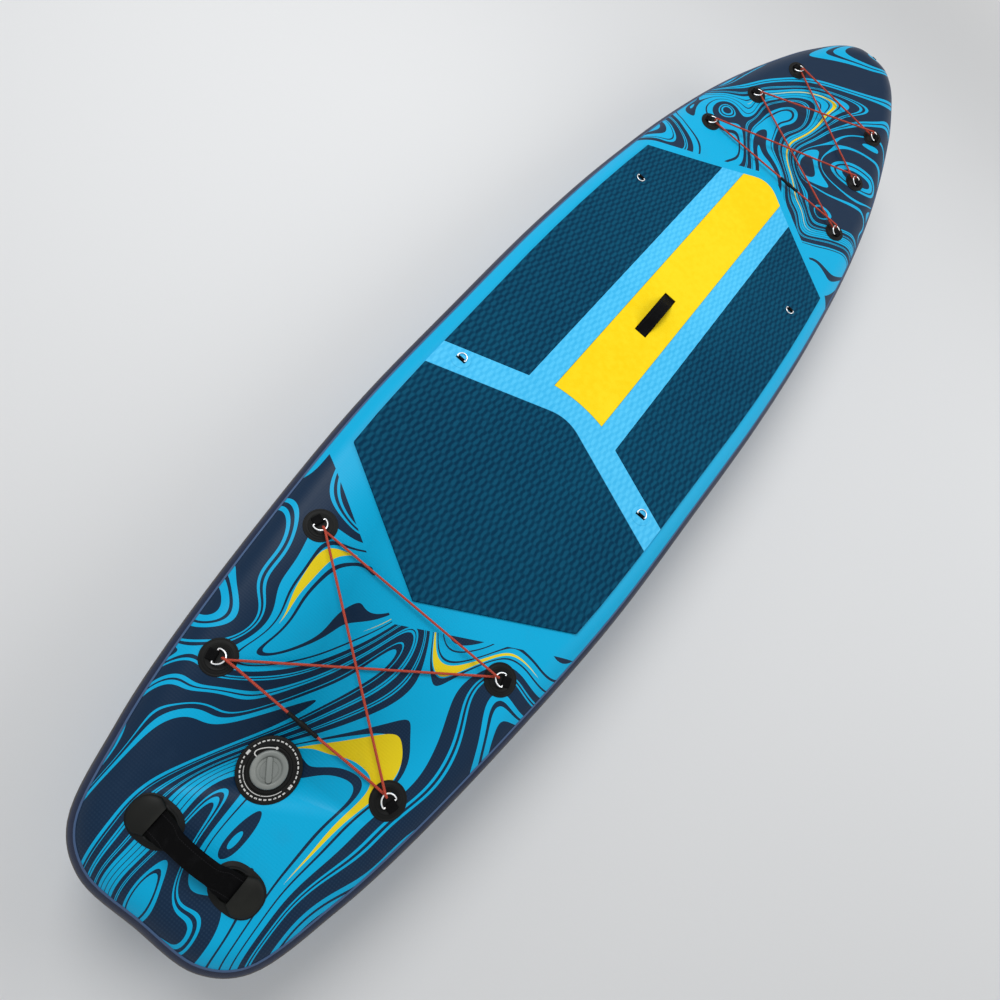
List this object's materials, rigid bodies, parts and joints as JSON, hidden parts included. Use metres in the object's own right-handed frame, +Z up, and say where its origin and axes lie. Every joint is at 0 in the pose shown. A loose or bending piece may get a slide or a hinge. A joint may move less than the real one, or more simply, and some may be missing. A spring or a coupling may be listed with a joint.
{
  "type": "inflatable stand-up paddle board",
  "caption": "Inflatable stand-up paddle board with a foam deck pad, carry and tail handles, air valve, bungee-laced D-rings and fins.",
  "frame": {"origin": "on the ground that the fins stand on, on the centre line, below the middle of the whole length", "axes": "+Y towards the nose, +X towards the starboard side, +Z up through the deck"},
  "size_m": [0.8452, 3.2052, 0.4087],
  "materials": {
    "printed_cyan": "printed, satin",
    "navy_band": "satin",
    "core_fabric": "woven",
    "yellow_foam": "matt, embossed",
    "dark_teal_foam": "matt, embossed",
    "light_blue_foam": "matt, embossed",
    "black_webbing": "woven",
    "black_rubber": "matt",
    "grey_plastic": "satin",
    "stainless_steel": "polished",
    "orange_red_cord": "braided",
    "fin_plastic": "satin",
    "brass": "plain",
    "tether_white": "plain"
  },
  "bodies": {
    "hull": {"deck_skin": "printed_cyan", "bottom_skin": "printed_cyan", "rail_band": "navy_band", "drop_stitch_core": "core_fabric", "pad_rear": "dark_teal_foam", "pad_light_blue_frame": "light_blue_foam", "pad_center_stripe": "yellow_foam", "pad_front_left": "dark_teal_foam", "pad_front_right": "dark_teal_foam", "carry_handle_strap": "black_webbing", "tail_handle_patch_left": "black_rubber", "tail_handle_patch_right": "black_rubber", "tail_handle_strap": "black_webbing", "valve_patch": "black_rubber", "valve_flange": "black_rubber", "valve_body": "black_rubber", "valve_spring": "stainless_steel", "valve_tether": "tether_white", "tail_rear_left_patch": "black_rubber", "tail_rear_right_patch": "black_rubber", "tail_front_left_patch": "black_rubber", "tail_front_right_patch": "black_rubber", "nose_rear_left_patch": "black_rubber", "nose_rear_right_patch": "black_rubber", "nose_mid_left_patch": "black_rubber", "nose_mid_right_patch": "black_rubber", "nose_front_left_patch": "black_rubber", "nose_front_right_patch": "black_rubber", "pad_rear_left_patch": "black_rubber", "pad_rear_right_patch": "black_rubber", "pad_front_left_patch": "black_rubber", "pad_front_right_patch": "black_rubber", "nose_tow_patch": "black_rubber", "tail_bungee": "orange_red_cord", "tail_bungee_joiner": "black_rubber", "nose_bungee": "orange_red_cord", "nose_bungee_joiner": "black_rubber", "center_fin_box": "fin_plastic", "side_fin_left": "fin_plastic", "side_fin_right": "fin_plastic"},
    "tail_rear_left_ring": {"tail_rear_left_ring": "stainless_steel"},
    "tail_rear_right_ring": {"tail_rear_right_ring": "stainless_steel"},
    "tail_front_left_ring": {"tail_front_left_ring": "stainless_steel"},
    "tail_front_right_ring": {"tail_front_right_ring": "stainless_steel"},
    "nose_rear_left_ring": {"nose_rear_left_ring": "stainless_steel"},
    "nose_rear_right_ring": {"nose_rear_right_ring": "stainless_steel"},
    "nose_mid_left_ring": {"nose_mid_left_ring": "stainless_steel"},
    "nose_mid_right_ring": {"nose_mid_right_ring": "stainless_steel"},
    "nose_front_left_ring": {"nose_front_left_ring": "stainless_steel"},
    "nose_front_right_ring": {"nose_front_right_ring": "stainless_steel"},
    "pad_rear_left_ring": {"pad_rear_left_ring": "stainless_steel"},
    "pad_rear_right_ring": {"pad_rear_right_ring": "stainless_steel"},
    "pad_front_left_ring": {"pad_front_left_ring": "stainless_steel"},
    "pad_front_right_ring": {"pad_front_right_ring": "stainless_steel"},
    "nose_tow_ring": {"nose_tow_ring": "stainless_steel"},
    "valve_stem": {"valve_stem": "grey_plastic"},
    "valve_cap": {"valve_cap": "grey_plastic"},
    "center_fin": {"center_fin": "fin_plastic", "center_fin_nut": "brass"},
    "center_fin_screw": {"center_fin_screw": "stainless_steel"}
  },
  "joints": [
    {"name": "tail_rear_left_ring_hinge", "type": "hinge", "parent": "hull", "child": "tail_rear_left_ring", "pos_m": [-0.20808, -1.21224, 0.2815], "axis": [0.2967, -0.955, 0], "range_deg": [-5, 5], "deforming": ["tail_bungee"]},
    {"name": "tail_rear_right_ring_hinge", "type": "hinge", "parent": "hull", "child": "tail_rear_right_ring", "pos_m": [0.20808, -1.21224, 0.2815], "axis": [0.2967, 0.955, 0], "range_deg": [-5, 5], "deforming": ["tail_bungee"]},
    {"name": "tail_front_left_ring_hinge", "type": "hinge", "parent": "hull", "child": "tail_front_left_ring", "pos_m": [-0.24538, -0.90468, 0.2815], "axis": [-0.2967, -0.955, 0], "range_deg": [-5, 5], "deforming": ["tail_bungee"]},
    {"name": "tail_front_right_ring_hinge", "type": "hinge", "parent": "hull", "child": "tail_front_right_ring", "pos_m": [0.24538, -0.90468, 0.2815], "axis": [-0.2967, 0.955, 0], "range_deg": [-5, 5], "deforming": ["tail_bungee"]},
    {"name": "nose_rear_left_ring_hinge", "type": "hinge", "parent": "hull", "child": "nose_rear_left_ring", "pos_m": [-0.2698, 0.88169, 0.29545], "axis": [0.2162, -0.9727, -0.0842], "range_deg": [-5, 5], "deforming": ["nose_bungee"]},
    {"name": "nose_rear_right_ring_hinge", "type": "hinge", "parent": "hull", "child": "nose_rear_right_ring", "pos_m": [0.2698, 0.88169, 0.29545], "axis": [0.2162, 0.9727, 0.0842], "range_deg": [-5, 5], "deforming": ["nose_bungee"]},
    {"name": "nose_mid_left_ring_hinge", "type": "hinge", "parent": "hull", "child": "nose_mid_left_ring", "pos_m": [-0.22301, 1.10648, 0.32216], "axis": [0.0146, -0.9885, -0.1502], "range_deg": [-5, 5], "deforming": ["nose_bungee"]},
    {"name": "nose_mid_right_ring_hinge", "type": "hinge", "parent": "hull", "child": "nose_mid_right_ring", "pos_m": [0.22301, 1.10648, 0.32216], "axis": [0.0146, 0.9885, 0.1502], "range_deg": [-5, 5], "deforming": ["nose_bungee"]},
    {"name": "nose_front_left_ring_hinge", "type": "hinge", "parent": "hull", "child": "nose_front_left_ring", "pos_m": [-0.17553, 1.30155, 0.35757], "axis": [-0.2304, -0.9522, -0.2008], "range_deg": [-5, 5], "deforming": ["nose_bungee"]},
    {"name": "nose_front_right_ring_hinge", "type": "hinge", "parent": "hull", "child": "nose_front_right_ring", "pos_m": [0.17553, 1.30155, 0.35757], "axis": [-0.2304, 0.9522, 0.2008], "range_deg": [-5, 5], "deforming": ["nose_bungee"]},
    {"name": "pad_rear_left_ring_hinge", "type": "hinge", "parent": "hull", "child": "pad_rear_left_ring", "pos_m": [-0.28103, -0.39246, 0.2821], "axis": [1, 0, 0], "range_deg": [0, 175]},
    {"name": "pad_rear_right_ring_hinge", "type": "hinge", "parent": "hull", "child": "pad_rear_right_ring", "pos_m": [0.28103, -0.39246, 0.2821], "axis": [1, 0, 0], "range_deg": [0, 175]},
    {"name": "pad_front_left_ring_hinge", "type": "hinge", "parent": "hull", "child": "pad_front_left_ring", "pos_m": [-0.29194, 0.48654, 0.2821], "axis": [-1, 0, 0], "range_deg": [0, 175]},
    {"name": "pad_front_right_ring_hinge", "type": "hinge", "parent": "hull", "child": "pad_front_right_ring", "pos_m": [0.29194, 0.48654, 0.2821], "axis": [-1, 0, 0], "range_deg": [0, 175]},
    {"name": "nose_tow_ring_hinge", "type": "hinge", "parent": "hull", "child": "nose_tow_ring", "pos_m": [0, 1.59681, 0.38443], "axis": [1, 0, 0], "range_deg": [0, 150]},
    {"name": "valve_stem_slide", "type": "slide", "parent": "hull", "child": "valve_stem", "axis": [0, 0, -1], "range_m": [0, 0.006], "stiffness_N_per_m": 300, "springref_m": -0.004, "deforming": ["valve_spring"]},
    {"name": "valve_cap_lift", "type": "slide", "parent": "hull", "child": "valve_cap", "axis": [0, 0, 1], "range_m": [0, 0.045], "deforming": ["valve_tether"]},
    {"name": "center_fin_slide", "type": "slide", "parent": "hull", "child": "center_fin", "axis": [0, 1, 0], "range_m": [-0.045, 0.025]},
    {"name": "center_fin_screw_turn", "type": "hinge", "parent": "center_fin", "child": "center_fin_screw", "pos_m": [0, -1.22446, 0.125], "axis": [0, 0, -1], "continuous": true}
  ]
}
